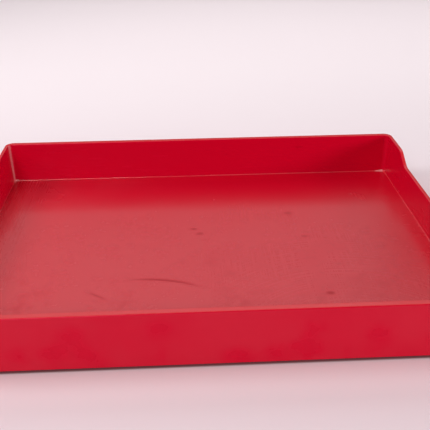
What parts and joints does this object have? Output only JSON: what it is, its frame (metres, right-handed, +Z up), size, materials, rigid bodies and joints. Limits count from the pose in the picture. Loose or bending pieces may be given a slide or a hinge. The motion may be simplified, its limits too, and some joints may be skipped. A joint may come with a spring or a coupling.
{
  "type": "developing tray",
  "caption": "Shallow rectangular darkroom tray with slightly flared walls, a flat floor, rounded corners and a dipped rim on both short sides.",
  "frame": {"origin": "on the bench, under the middle of the tray's overall box", "axes": "+X along the length of the tray, +Y from the front wall to the back wall, +Z up"},
  "size_m": [0.375, 0.2992, 0.0421],
  "materials": {
    "floor_sheet": "satin-gloss red rigid plastic, with fine wiping streaks, faint swirls and small dark nicks",
    "wall_sheet": "satin-gloss red rigid plastic, with softened rim edges and faint handling smudges",
    "seam_cement": "slightly paler red cement fillet, glossy and a little uneven",
    "foot_vinyl": "soft matte dark red vinyl, scuffed where it touches the bench"
  },
  "bodies": {
    "root": {"floor_panel": "floor_sheet", "front_wall": "wall_sheet", "back_wall": "wall_sheet", "left_wall": "wall_sheet", "right_wall": "wall_sheet", "front_left_corner": "wall_sheet", "front_right_corner": "wall_sheet", "back_left_corner": "wall_sheet", "back_right_corner": "wall_sheet", "front_seam_fillet": "seam_cement", "back_seam_fillet": "seam_cement", "left_seam_fillet": "seam_cement", "right_seam_fillet": "seam_cement", "front_left_foot": "foot_vinyl", "front_right_foot": "foot_vinyl", "back_left_foot": "foot_vinyl", "back_right_foot": "foot_vinyl"}
  },
  "joints": []
}
